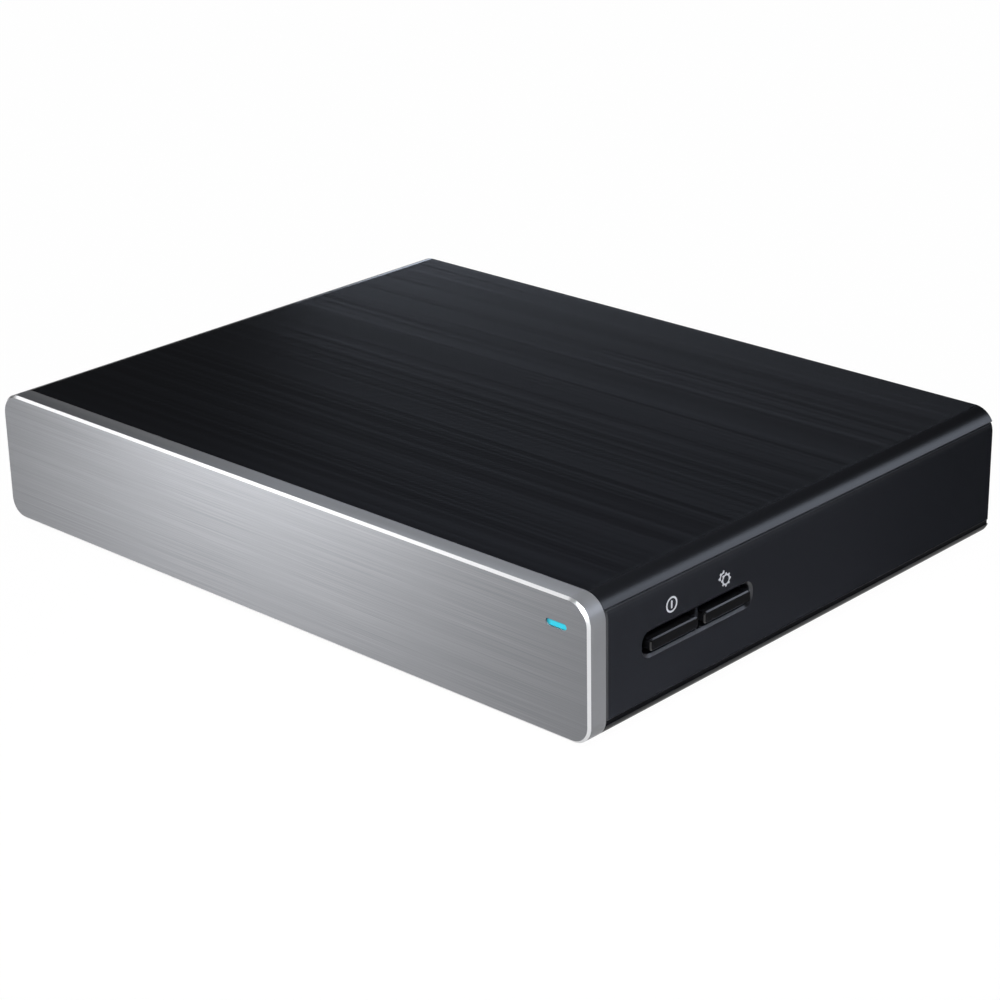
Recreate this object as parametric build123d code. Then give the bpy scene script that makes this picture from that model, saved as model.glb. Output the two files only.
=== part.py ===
"""Hard-disk media player: a low box with an aluminium front, two side buttons and the board and drive inside.

Millimetres, +Z up. The origin is on the floor under the middle of the box, and the front faces -Y.
"""

from math import cos, radians, sin
import os

from build123d import *

# Overall sizes
BODY_W = 200.0
BODY_D = 152.0
BODY_H = 34.0
FOOT_H = 1.5
TOP_R = 5.8
BOTTOM_R = 5.0
TOP_SEAM_DROP = 3.4
BOTTOM_SEAM_RISE = 4.5

# Walls and clearances
COVER_WALL = 1.6
FLOOR_T = 1.8
SIDE_T = 2.4
REAR_T = 2.2
SEAM_GAP = 0.15
FIT_GAP = 0.2
SLIP_GAP = 0.1
RUN_GAP = 0.05
SEAM_CHAMFER = 0.25
SHADOW_DEPTH = 0.6
SHADOW_H = 1.1

# Front panel
PANEL_DEPTH = 5.4
PANEL_FACE_T = 1.6
PANEL_RIM_T = 1.9
PANEL_CHAMFER = 0.6
CARRIER_T = 1.5
CARRIER_DEPTH = 8.0

# Status light
LED_FROM_RIGHT = 9.3
LED_BELOW_TOP = 7.25
LED_LENGTH = 5.8
LED_HEIGHT = 1.45
LENS_RECESS = 0.35

# Side buttons, with their pocket placed from the front face and above mid height
POCKET_FROM_FRONT = 36.5
POCKET_LENGTH = 37.4
POCKET_RISE = 0.9
POCKET_HEIGHT = 5.4
POCKET_R = 2.2
POCKET_BEVEL = 0.6
POCKET_DEPTH = 3.2
POCKET_FLOOR_T = 1.2
POCKET_RIM = 2.0
BUTTON_GAP = 2.0
BUTTON_END_GAP = 1.3
BUTTON_HEIGHT = 2.9
BUTTON_PROUD = 0.9
BUTTON_R = 0.8
BUTTON_EDGE = 0.3
BUTTON_TRAVEL = 0.5
BUTTON_FLANGE = 1.1
STEM_R = 1.5
STEM_L = 2.4
DIVIDER_T = 0.8
SWITCH_SIDE = 6.0
SWITCH_T = 2.6
PLUNGER_R = 1.0
PLUNGER_OUT = 0.8
PLUNGER_IN = 1.4
BUTTON_BOARD_T = 1.2
BUTTON_BOARD_END = 2.0
BUTTON_BOARD_H = 14.0
GUIDE_T = 1.6
GUIDE_LIP = 1.4

# Fixings
BOSS_R = 3.5
BOSS_INSET = 7.6
BOSS_FROM_END = 14.5
SCREW_R = 1.4
SCREW_HEAD_R = 2.7
SCREW_HEAD_H = 1.7
PILOT_L = 9.0
CASE_HEAD_DEPTH = 4.0
FOOT_R = 7.0
FOOT_RECESS = 0.6
FOOT_INSET = 20.0
RIB_T = 1.2
RIB_H = 5.0
BEAD_L = 9.0
BEAD_H = 1.2
BEAD_COUNT = 3
VENT_STEP = 6.0
REAR_VENT_STEP = 4.0
REAR_VENT_W = 2.0

# Main board
BOARD_T = 1.6
STANDOFF_H = 4.0
STANDOFF_R = 3.0
STRIP_END_GAP = 4.5
STRIP_D = 28.0
WING_GAP = 8.0
WING_GUIDE_GAP = 4.0
WING_FROM_FRONT = 40.0
BOARD_REAR_GAP = 1.4
SINK_SHARE = 0.6
SINK_BASE_T = 3.0
SINK_FIN_H = 9.5
SINK_FIN_T = 1.3
SINK_FINS = 11
CHIP_SIDE = 15.0
CHIP_T = 1.3
PAD_T = 0.5
PIN_R = 1.2

# Radio
MODULE_FROM_END = 20.0
MODULE_FROM_FRONT = 12.2
MODULE_L = 22.0
MODULE_D = 10.0
MODULE_T = 0.8
SHIELD_H = 2.6
SHIELD_INSET = 1.0
ANTENNA_L = 32.0
ANTENNA_W = 8.0
ANTENNA_T = 0.8
ANTENNA_FROM_STRIP = 25.4
ANTENNA_DROP = 1.0
COAX_R = 0.6

# Disk drive: a 2.5 inch unit that is 100 mm long in its bay, with its other sizes in proportion
BAY_FRONT_GAP = 1.9
BAY_SIDE_GAP = 4.375
SATA_L = 7.6
SATA_W = 36.0
SATA_H = 4.6
SATA_FOOT = 4.0
DRIVE_PER_LENGTH = 0.6985
DRIVE_H = 9.5
DRIVE_LID_T = 0.8
DRIVE_FLOOR_T = 2.4
DRIVE_BOARD_T = 1.0
PLATTER_PER_LENGTH = 0.325
PLATTER_T = 0.8
HUB_PER_LENGTH = 0.1
SPINDLE_R = 2.0
ARM_PER_LENGTH = 0.36
ARM_T = 0.6
ARM_GAP = 0.5
PIVOT_X_PER_LENGTH = 0.14
PIVOT_Y_PER_LENGTH = 0.38
PIVOT_PER_LENGTH = 0.05
PIVOT_PIN_R = 1.8
ARM_REST_DEG = -159.2
PADDLE_PER_LENGTH = 0.16
BRACKET_T = 1.0
BRACKET_WALL_H = 8.0
GROMMET_R = 4.0
GROMMET_H = 2.0
EAR_W = 9.0
EAR_TIP = 4.4

# Places that follow from the sizes
HALF_W = BODY_W / 2
FRONT = -BODY_D / 2
REAR = BODY_D / 2
BASE = FOOT_H
TOP = BASE + BODY_H
SEAM_Y = FRONT + PANEL_DEPTH
SHELL_FRONT = SEAM_Y + SEAM_GAP
SPLIT_LOW = BASE + BOTTOM_SEAM_RISE
SPLIT_HIGH = TOP - TOP_SEAM_DROP
FLOOR_Z = BASE + FLOOR_T
CEILING_Z = TOP - COVER_WALL
SIDE_IN = HALF_W - SIDE_T
REAR_OUT = REAR - 1.0
REAR_IN = REAR_OUT - REAR_T
BOARD_Z = FLOOR_Z + STANDOFF_H
BOARD_TOP = BOARD_Z + BOARD_T
BOARD_REAR = REAR_IN - BOARD_REAR_GAP
STRIP_FRONT = BOARD_REAR - STRIP_D
RIB_OUT = SIDE_IN - FIT_GAP
RIB_IN = RIB_OUT - RIB_T
LED_X = HALF_W - LED_FROM_RIGHT
LED_Z = TOP - LED_BELOW_TOP
BOSS_X = SIDE_IN - BOSS_INSET
BOSSES = [(sx * BOSS_X, sy * (REAR - BOSS_FROM_END)) for sx in (-1, 1) for sy in (-1, 1)]

# Button places
POCKET_Y = FRONT + POCKET_FROM_FRONT
POCKET_Z = BASE + BODY_H / 2 + POCKET_RISE
BUTTON_LENGTH = (POCKET_LENGTH - BUTTON_GAP) / 2 - BUTTON_END_GAP
BUTTON_STEP = (BUTTON_LENGTH + BUTTON_GAP) / 2
BUTTON_FACE_X = HALF_W + BUTTON_PROUD
POCKET_FLOOR_X = HALF_W - POCKET_DEPTH
POCKET_BACK_X = POCKET_FLOOR_X - POCKET_FLOOR_T
FLANGE_X = POCKET_BACK_X - SLIP_GAP
STEM_X = FLANGE_X - BUTTON_FLANGE
STEM_END_X = STEM_X - STEM_L
SWITCH_FACE_X = STEM_END_X - PLUNGER_OUT
BUTTON_BOARD_X = SWITCH_FACE_X - SWITCH_T
BUTTON_BOARD_L = 2 * BUTTON_STEP + SWITCH_SIDE + 2 * BUTTON_BOARD_END
GUIDE_X = (BUTTON_BOARD_X - BUTTON_BOARD_T - GUIDE_LIP, BUTTON_BOARD_X + GUIDE_LIP)

# Drive places
BRACKET_Z = FLOOR_Z + GROMMET_H * 2
DRIVE_Z = BRACKET_Z + BRACKET_T + 0.3
DRIVE_TOP = DRIVE_Z + DRIVE_H
DRIVE_FRONT = FRONT + PANEL_FACE_T + CARRIER_DEPTH + BAY_FRONT_GAP
DRIVE_REAR = STRIP_FRONT - SATA_L - 0.3
DRIVE_L = DRIVE_REAR - DRIVE_FRONT
DRIVE_W = DRIVE_L * DRIVE_PER_LENGTH
EAR_REACH = BRACKET_T + EAR_W / 2
DRIVE_X = DRIVE_W / 2 + EAR_REACH + EAR_TIP + BAY_SIDE_GAP - RIB_IN
EARS = [
    (DRIVE_X + sx * (DRIVE_W / 2 + EAR_REACH), DRIVE_FRONT + along * DRIVE_L)
    for sx in (-1, 1)
    for along in (0.22, 0.78)
]
PLATTER_R = DRIVE_L * PLATTER_PER_LENGTH
HUB_R = DRIVE_L * HUB_PER_LENGTH
ARM_LENGTH = DRIVE_L * ARM_PER_LENGTH
PIVOT_R = DRIVE_L * PIVOT_PER_LENGTH
PADDLE_L = DRIVE_L * PADDLE_PER_LENGTH
SPINDLE = (DRIVE_X, DRIVE_FRONT + DRIVE_W / 2)
PIVOT = (SPINDLE[0] + DRIVE_L * PIVOT_X_PER_LENGTH, SPINDLE[1] + DRIVE_L * PIVOT_Y_PER_LENGTH)
WELL_Z = DRIVE_Z + DRIVE_FLOOR_T
LID_Z = DRIVE_TOP - DRIVE_LID_T
PLATTER_Z = (WELL_Z + LID_Z) / 2 - PLATTER_T / 2

# Main board places
STRIP_W = 2 * (BOSS_X - BOSS_R - STRIP_END_GAP)
WING_X0 = DRIVE_X + DRIVE_W / 2 + EAR_REACH + EAR_TIP + WING_GAP
WING_X1 = GUIDE_X[0] - WING_GUIDE_GAP
WING_FRONT = FRONT + WING_FROM_FRONT
SINK_W = SINK_SHARE * (WING_X1 - WING_X0)
SINK_D = SINK_SHARE * (STRIP_FRONT - WING_FRONT)
SINK_X = (WING_X0 + WING_X1) / 2
SINK_Y = (WING_FRONT + STRIP_FRONT) / 2
STANDOFFS = [
    (-STRIP_W / 2 + 5, STRIP_FRONT + 5),
    (STRIP_W / 2 - 5, STRIP_FRONT + 5),
    (WING_X0 + 5, WING_FRONT + 5),
    (WING_X1 - 5, WING_FRONT + 5),
]
MODULE_X = -STRIP_W / 2 + MODULE_FROM_END
MODULE_Y = STRIP_FRONT + MODULE_FROM_FRONT


def span(x, y, z):
    """Block between pairs of limits."""
    size = (x[1] - x[0], y[1] - y[0], z[1] - z[0])
    return Pos((x[0] + x[1]) / 2, (y[0] + y[1]) / 2, (z[0] + z[1]) / 2) * Box(*size)


def rod(x, y, z0, z1, radius):
    """Upright round bar."""
    return Pos(x, y, (z0 + z1) / 2) * Cylinder(radius, z1 - z0)


def rod_x(x0, x1, y, z, radius):
    """Round bar along X."""
    return Pos((x0 + x1) / 2, y, z) * Rot(0, 90, 0) * Cylinder(radius, x1 - x0)


def rod_y(x, y0, y1, z, radius):
    """Round bar along Y."""
    return Pos(x, (y0 + y1) / 2, z) * Rot(90, 0, 0) * Cylinder(radius, y1 - y0)


def facing_rear(y, z=0.0, x=0.0):
    """Sketch plane that looks along +Y, with its second axis pointing down."""
    return Plane(origin=(x, y, z), x_dir=(1, 0, 0), z_dir=(0, 1, 0))


def case_prism(inset, y0, y1):
    """The case's rounded cross-section, drawn in by an inset and run along the depth."""
    low, high = BASE + inset, TOP - inset
    outline = Rectangle(BODY_W - 2 * inset, high - low)
    rows = outline.vertices().group_by(Axis.Y)
    outline = fillet(rows[-1], BOTTOM_R - inset if BOTTOM_R > inset else FIT_GAP)
    rows = outline.vertices().group_by(Axis.Y)
    outline = fillet(rows[0], TOP_R - inset if TOP_R > inset else FIT_GAP)
    return extrude(facing_rear(y0, (low + high) / 2) * outline, amount=y1 - y0)


def pill_y(x, z, length, height, y0, y1):
    """Flat bar with round ends, run along the depth."""
    return extrude(facing_rear(y0, z, x) * SlotOverall(length, height), amount=y1 - y0)


def lens_bar(grow, y0, y1):
    """The status light's window shape."""
    return pill_y(LED_X, LED_Z, LED_LENGTH + 2 * grow, LED_HEIGHT + 2 * grow, y0, y1)


def front_panel():
    """Aluminium fascia: a shallow tray with a cut bevel round its face."""
    tray = case_prism(0, FRONT, SEAM_Y)
    tray = chamfer(tray.faces().sort_by(Axis.Y)[0].edges(), PANEL_CHAMFER)
    tray -= case_prism(PANEL_RIM_T, FRONT + PANEL_FACE_T, SEAM_Y)
    return tray - lens_bar(SLIP_GAP, FRONT, FRONT + PANEL_FACE_T)


def led_posts():
    """Where the light board's two posts stand."""
    return [(LED_X + dx, LED_Z) for dx in (-5.0, 4.9)]


CARRIER_INSET = SIDE_T + SLIP_GAP
CARRIER_FRONT = FRONT + PANEL_FACE_T
CARRIER_BACK = CARRIER_FRONT + CARRIER_T
LENS_FLANGE_T = 1.0
LED_BOARD_Y = CARRIER_BACK + LENS_FLANGE_T + 1.6


def front_carrier():
    """Moulded tray that joins the fascia to the case, with posts for the light board."""
    rear = CARRIER_FRONT + CARRIER_DEPTH
    body = case_prism(CARRIER_INSET, CARRIER_FRONT, rear)
    body -= case_prism(CARRIER_INSET + CARRIER_T, CARRIER_BACK, rear)
    body -= lens_bar(SLIP_GAP, CARRIER_FRONT, CARRIER_BACK)
    for x, z in led_posts():
        body += rod_y(x, CARRIER_BACK, LED_BOARD_Y, z, 1.0)
    return body


def led_lens():
    """Light pipe: its nose fills the slot in the fascia and its flange sits behind the carrier."""
    nose = lens_bar(0, FRONT + LENS_RECESS, CARRIER_BACK)
    flange = lens_bar(0.7, CARRIER_BACK, CARRIER_BACK + LENS_FLANGE_T)
    return nose + flange


def led_board():
    """Small circuit board that carries the status light."""
    (x0, z), (x1, _) = led_posts()
    return span((x0 - 2, x1 + 0.2), (LED_BOARD_Y, LED_BOARD_Y + 1.0), (z - 2.6, z + 2.0))


def status_led():
    """Surface-mounted light behind the pipe."""
    xs, zs = (LED_X - 1.4, LED_X + 1.4), (LED_Z - 0.8, LED_Z + 0.8)
    return span(xs, (LED_BOARD_Y - 1.2, LED_BOARD_Y), zs)


def bead_places():
    """Places along the depth where the side panels snap in."""
    reach = REAR_IN - SHELL_FRONT
    return [SHELL_FRONT + reach * (i + 0.75) / (BEAD_COUNT + 0.5) for i in range(BEAD_COUNT)]


BEAD_LOW_Z = FLOOR_Z + RIB_H * 0.75
BEAD_HIGH_Z = CEILING_Z - RIB_H * 0.75
RIB_FRONT = CARRIER_FRONT + CARRIER_DEPTH + FIT_GAP
RIB_REAR = REAR_IN - 1.5


def snap_ribs(z0, z1, bead_z):
    """Two ribs that stand behind the side panels, with windows for the snap beads."""
    ribs = []
    for sign in (-1, 1):
        xs = sorted((sign * RIB_IN, sign * RIB_OUT))
        rib = span(xs, (RIB_FRONT, RIB_REAR), (z0, z1))
        for y in bead_places():
            half = BEAD_L / 2 + FIT_GAP
            rib -= span(xs, (y - half, y + half), (bead_z - 0.8, bead_z + 0.8))
        ribs.append(rib)
    return ribs


def top_cover():
    """Upper shell with rounded long edges, screw posts, snap ribs and a rear lip."""
    shell = case_prism(0, SHELL_FRONT, REAR) & span(
        (-HALF_W, HALF_W), (FRONT, REAR), (SPLIT_HIGH, TOP)
    )
    lower = shell.faces().sort_by(Axis.Z)[0]
    shell = chamfer(lower.edges().filter_by(Axis.Y), SEAM_CHAMFER)
    shell -= case_prism(COVER_WALL, SHELL_FRONT, REAR)
    for x, y in BOSSES:
        post_z = CEILING_Z - PILOT_L - 8
        shell += rod(x, y, post_z, CEILING_Z, BOSS_R)
        shell -= rod(x, y, post_z, post_z + PILOT_L, SCREW_R)
    for rib in snap_ribs(CEILING_Z - RIB_H, CEILING_Z, BEAD_HIGH_Z):
        shell += rib
    lip = span((-SIDE_IN + 1, SIDE_IN - 1), (REAR_OUT + RUN_GAP, REAR), (CEILING_Z - 2, CEILING_Z))
    return shell + lip


def vent_slots():
    """Rows of slots under the heat sink and under the drive."""
    slots = []
    for row_x in (SINK_X, DRIVE_X):
        for i in range(7):
            x = row_x + (i - 3) * VENT_STEP
            slots.append(span((x - 1.2, x + 1.2), (SINK_Y - 13, SINK_Y + 13), (BASE, FLOOR_Z)))
    return slots


def bottom_cover():
    """Lower tray with shadow steps, bosses, standoffs, foot recesses, vents, snap ribs and a rear lip."""
    shell = case_prism(0, SHELL_FRONT, REAR) & span(
        (-HALF_W, HALF_W), (FRONT, REAR), (BASE, SPLIT_LOW)
    )
    for sign in (-1, 1):
        xs = sorted((sign * (HALF_W - SHADOW_DEPTH), sign * HALF_W))
        shell -= span(xs, (SHELL_FRONT, REAR), (SPLIT_LOW - SHADOW_H, SPLIT_LOW))
    shell -= case_prism(COVER_WALL, SHELL_FRONT, REAR) & span(
        (-HALF_W, HALF_W), (FRONT, REAR), (FLOOR_Z, TOP)
    )
    for x, y in BOSSES:
        shell += rod(x, y, FLOOR_Z, CEILING_Z - PILOT_L - 8, BOSS_R)
        shell -= rod(x, y, BASE, CEILING_Z, SCREW_R + FIT_GAP)
        shell -= rod(x, y, BASE, BASE + CASE_HEAD_DEPTH, SCREW_HEAD_R + FIT_GAP)
    for x, y in STANDOFFS:
        shell += rod(x, y, FLOOR_Z, BOARD_Z, STANDOFF_R)
        shell -= rod(x, y, FLOOR_Z, BOARD_Z, SCREW_R)
    for x, y in EARS:
        shell += rod(x, y, FLOOR_Z, BRACKET_Z - GROMMET_H, GROMMET_R)
        shell -= rod(x, y, FLOOR_Z, BRACKET_Z - GROMMET_H, SCREW_R)
    for x, y in feet_places():
        shell -= rod(x, y, BASE, BASE + FOOT_RECESS, FOOT_R + SLIP_GAP)
    for slot in vent_slots():
        shell -= slot
    for rib in snap_ribs(FLOOR_Z, FLOOR_Z + RIB_H, BEAD_LOW_Z):
        shell += rib
    for y in (-1, 1):
        shell += button_board_guide(y)
    lip = span((-SIDE_IN + 1, SIDE_IN - 1), (REAR_OUT + RUN_GAP, REAR), (FLOOR_Z, FLOOR_Z + 2))
    return shell + lip


def feet_places():
    """The four feet, in from the corners."""
    x, y = HALF_W - FOOT_INSET, REAR - FOOT_INSET
    return [(sx * x, sy * y) for sx in (-1, 1) for sy in (-1, 1)]


def foot(x, y):
    """Stick-on rubber foot, with a softened edge."""
    pad = rod(x, y, 0, BASE + FOOT_RECESS, FOOT_R)
    return chamfer(pad.edges().sort_by(Axis.Z)[0], 0.5)


def button_board_guide(side):
    """Upright post with a groove that holds one end of the button board."""
    edge = POCKET_Y + side * (BUTTON_BOARD_L / 2)
    ys = sorted((edge - side * 1.2, edge + side * GUIDE_T))
    top = POCKET_Z + BUTTON_BOARD_H / 2
    post = span(GUIDE_X, ys, (FLOOR_Z, top))
    groove_y = sorted((edge - side * 1.2, edge + side * SLIP_GAP))
    groove_x = (BUTTON_BOARD_X - BUTTON_BOARD_T - RUN_GAP, BUTTON_BOARD_X + RUN_GAP)
    return post - span(groove_x, groove_y, (POCKET_Z - BUTTON_BOARD_H / 2, top))


def side_panel(sign):
    """Side wall between the two covers, following their rounding, with beads that snap into the ribs."""
    xs = sorted((sign * SIDE_IN, sign * HALF_W))
    zs = (SPLIT_LOW + SLIP_GAP, SPLIT_HIGH - SLIP_GAP)
    panel = case_prism(0, SHELL_FRONT, REAR) & span(xs, (SHELL_FRONT, REAR), zs)
    for end in (0, -1):
        seam = panel.faces().sort_by(Axis.Z)[end].edges().filter_by(Axis.Y).sort_by(Axis.X)
        panel = chamfer(seam[-1 if sign > 0 else 0], SEAM_CHAMFER)
    bead_x = sorted((sign * (RIB_IN + 0.2), sign * SIDE_IN))
    for y in bead_places():
        for z in (BEAD_LOW_Z, BEAD_HIGH_Z):
            panel += span(bead_x, (y - BEAD_L / 2, y + BEAD_L / 2), (z - BEAD_H / 2, z + BEAD_H / 2))
    return panel


def side_prism(length, height, y, z, radius, x0, x1):
    """Rounded bar drawn on the side of the case and run along X."""
    plane = Plane(origin=(x0, y, z), x_dir=(0, 1, 0), z_dir=(1, 0, 0))
    return extrude(plane * RectangleRounded(length, height, radius), amount=x1 - x0)


def button_places():
    """Centre of each button along the depth."""
    return {"power": POCKET_Y - BUTTON_STEP, "settings": POCKET_Y + BUTTON_STEP}


def right_side_panel():
    """Side wall with the button pocket, its floor windows and the rib between the buttons."""
    panel = side_panel(1)
    rim = 2 * POCKET_RIM
    panel += side_prism(
        POCKET_LENGTH + rim, POCKET_HEIGHT + rim, POCKET_Y, POCKET_Z, POCKET_R, POCKET_BACK_X, SIDE_IN
    )
    pocket = side_prism(
        POCKET_LENGTH, POCKET_HEIGHT, POCKET_Y, POCKET_Z, POCKET_R, POCKET_FLOOR_X, HALF_W
    )
    panel -= pocket
    rim_edges = panel.edges().filter_by_position(Axis.X, HALF_W - RUN_GAP, HALF_W + RUN_GAP)
    low, high = POCKET_Z - POCKET_HEIGHT, POCKET_Z + POCKET_HEIGHT
    panel = chamfer(rim_edges.filter_by_position(Axis.Z, low, high), POCKET_BEVEL)
    for y in button_places().values():
        panel -= side_prism(
            BUTTON_LENGTH + 2 * SLIP_GAP,
            BUTTON_HEIGHT + 2 * SLIP_GAP,
            y,
            POCKET_Z,
            BUTTON_R + SLIP_GAP,
            POCKET_BACK_X,
            POCKET_FLOOR_X,
        )
    divider = span(
        (POCKET_FLOOR_X, HALF_W - POCKET_BEVEL),
        (POCKET_Y - DIVIDER_T / 2, POCKET_Y + DIVIDER_T / 2),
        (POCKET_Z - POCKET_HEIGHT / 2, POCKET_Z + POCKET_HEIGHT / 2),
    )
    return panel + divider


def button(y):
    """Push button: a bar with eased edges, a flange that keeps it in and a stem to its switch."""
    bar = side_prism(BUTTON_LENGTH, BUTTON_HEIGHT, y, POCKET_Z, BUTTON_R, FLANGE_X, BUTTON_FACE_X)
    bar = chamfer(bar.faces().sort_by(Axis.X)[-1].edges(), BUTTON_EDGE)
    grow = 2 * BUTTON_FLANGE
    flange = side_prism(
        BUTTON_LENGTH + 0.6, BUTTON_HEIGHT + grow, y, POCKET_Z, BUTTON_R, STEM_X, FLANGE_X
    )
    return bar + flange + rod_x(STEM_END_X, STEM_X, y, POCKET_Z, STEM_R)


def button_switch(y):
    """Tactile switch housing with a well for its plunger."""
    half = SWITCH_SIDE / 2
    block = span(
        (BUTTON_BOARD_X, SWITCH_FACE_X), (y - half, y + half), (POCKET_Z - half, POCKET_Z + half)
    )
    block = chamfer(block.edges().filter_by(Axis.X), 0.5)
    well = PLUNGER_IN + BUTTON_TRAVEL + FIT_GAP
    return block - rod_x(SWITCH_FACE_X - well, SWITCH_FACE_X, y, POCKET_Z, PLUNGER_R + RUN_GAP)


def switch_plunger(y):
    """Plunger that the button's stem pushes."""
    return rod_x(SWITCH_FACE_X - PLUNGER_IN, STEM_END_X, y, POCKET_Z, PLUNGER_R)


def button_board():
    """Upright circuit board behind the buttons."""
    return span(
        (BUTTON_BOARD_X - BUTTON_BOARD_T, BUTTON_BOARD_X),
        (POCKET_Y - BUTTON_BOARD_L / 2, POCKET_Y + BUTTON_BOARD_L / 2),
        (POCKET_Z - BUTTON_BOARD_H / 2, POCKET_Z + BUTTON_BOARD_H / 2),
    )


# Rear sockets: centre, width, height and depth of each
SOCKET_OUT = 0.2
USB = {"w": 14.4, "h": 7.0, "d": 14.0}
HDMI = {"w": 15.6, "h": 6.4, "d": 11.5}
LAN = {"w": 16.0, "h": 13.4, "d": 16.0}
OPTICAL = {"w": 10.6, "h": 10.8, "d": 13.4}
DC = {"w": 9.4, "h": 11.0, "d": 14.0}
USB_X = (-0.2 * HALF_W, -0.4 * HALF_W)
LAN_X = 0.04 * HALF_W
OPTICAL_X = 0.26 * HALF_W
HDMI_X = 0.48 * HALF_W
DC_X = 0.7 * HALF_W


def socket_block(x, size):
    """Outer block of a socket that stands on the board and reaches the rear panel."""
    y1 = REAR_OUT + SOCKET_OUT
    half = size["w"] / 2
    return span((x - half, x + half), (y1 - size["d"], y1), (BOARD_TOP, BOARD_TOP + size["h"]))


def socket_window(x, size):
    """Opening in the rear panel for a socket."""
    half = size["w"] / 2 + FIT_GAP
    z = (BOARD_TOP - FIT_GAP, BOARD_TOP + size["h"] + FIT_GAP)
    return span((x - half, x + half), (REAR_IN, REAR_OUT), z)


def rear_sockets():
    """Every rear socket's place and size."""
    places = [(x, USB) for x in USB_X]
    return places + [(LAN_X, LAN), (OPTICAL_X, OPTICAL), (HDMI_X, HDMI), (DC_X, DC)]


def rear_panel():
    """Port plate with socket windows and a comb of vent slots."""
    panel = span(
        (-SIDE_IN + SLIP_GAP, SIDE_IN - SLIP_GAP),
        (REAR_IN, REAR_OUT),
        (FLOOR_Z + RUN_GAP, CEILING_Z - RUN_GAP),
    )
    panel = chamfer(panel.faces().sort_by(Axis.Z)[-1].edges().filter_by(Axis.Y), TOP_R - COVER_WALL)
    low = BASE + BOTTOM_R
    panel -= span((-BODY_W, -HALF_W + BOTTOM_R), (REAR_IN, REAR_OUT), (BASE, low))
    panel -= span((HALF_W - BOTTOM_R, BODY_W), (REAR_IN, REAR_OUT), (BASE, low))
    for x, size in rear_sockets():
        panel -= socket_window(x, size)
    for x in vent_row(-HALF_W + 14, USB_X[-1] - 12):
        panel -= rear_slot(x, POCKET_Z - 7, POCKET_Z + 9)
    for x in vent_row(USB_X[-1], DC_X + 6):
        panel -= rear_slot(x, CEILING_Z - 8, CEILING_Z - 3)
    return panel


def vent_row(x0, x1):
    """Places of the rear vents between two limits, one step apart."""
    return [x0 + i * REAR_VENT_STEP for i in range(int((x1 - x0) / REAR_VENT_STEP) + 1)]


def rear_slot(x, z0, z1):
    """Upright vent slot through the rear panel."""
    return span((x - REAR_VENT_W / 2, x + REAR_VENT_W / 2), (REAR_IN, REAR_OUT), (z0, z1))


def usb_socket(x):
    """Flat four-sided shell with a contact tongue."""
    body = socket_block(x, USB)
    y1 = REAR_OUT + SOCKET_OUT
    z = BOARD_TOP + USB["h"] / 2
    body -= span((x - 6.3, x + 6.3), (y1 - 10, y1), (z - 2.6, z + 2.6))
    return body + span((x - 5.6, x + 5.6), (y1 - 10, y1 - 1.2), (z + 0.3, z + 2.1))


def hdmi_socket():
    """Shell with the plug's tapered mouth and a thin tongue."""
    y1 = REAR_OUT + SOCKET_OUT
    z = BOARD_TOP + HDMI["h"] / 2
    mouth = Polygon((-7, -2.3), (7, -2.3), (7, 0.4), (5.2, 2.3), (-5.2, 2.3), (-7, 0.4), align=None)
    body = socket_block(HDMI_X, HDMI)
    body -= extrude(facing_rear(y1 - 9, z, HDMI_X) * mouth, amount=9)
    return body + span((HDMI_X - 5.4, HDMI_X + 5.4), (y1 - 9, y1 - 1), (z - 0.4, z + 0.6))


def ethernet_socket():
    """Network jack with its stepped mouth and sloping contact block."""
    y1 = REAR_OUT + SOCKET_OUT
    z0 = BOARD_TOP + 2.0
    body = socket_block(LAN_X, LAN)
    body -= span((LAN_X - 5.95, LAN_X + 5.95), (y1 - 12, y1), (z0 + 2.2, z0 + 9.6))
    body -= span((LAN_X - 3.2, LAN_X + 3.2), (y1 - 12, y1), (z0, z0 + 2.2))
    return body + span((LAN_X - 4.4, LAN_X + 4.4), (y1 - 12, y1 - 9), (z0 + 7.6, z0 + 9.6))


def dc_jack():
    """Barrel power inlet with its centre pin."""
    y1 = REAR_OUT + SOCKET_OUT
    z = BOARD_TOP + DC["h"] / 2 + 0.6
    body = socket_block(DC_X, DC) - rod_y(DC_X, y1 - 9.5, y1, z, 3.1)
    return body + rod_y(DC_X, y1 - 9.5, y1 - 1.0, z, 1.0)


FLAP_W = 8.0
FLAP_H = 7.6
FLAP_T = 0.8
FLAP_PIN_R = 0.5
FLAP_Y = REAR_OUT + SOCKET_OUT - 1.2
FLAP_Z = BOARD_TOP + OPTICAL["h"] - 1.9


def optical_socket():
    """Optical sound output: a square mouth with hinge holes for its flap."""
    y1 = REAR_OUT + SOCKET_OUT
    half = FLAP_W / 2 + FIT_GAP
    body = socket_block(OPTICAL_X, OPTICAL)
    cavity = (FLAP_Z - FLAP_H - FIT_GAP, FLAP_Z + FLAP_T + FIT_GAP)
    body -= span((OPTICAL_X - half, OPTICAL_X + half), (y1 - 11, y1), cavity)
    reach = half + 0.6
    body -= rod_x(OPTICAL_X - reach, OPTICAL_X + reach, FLAP_Y, FLAP_Z, FLAP_PIN_R + RUN_GAP)
    return body + rod_y(OPTICAL_X, y1 - 11, y1 - 9.6, FLAP_Z - FLAP_H / 2, 1.2)


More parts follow.
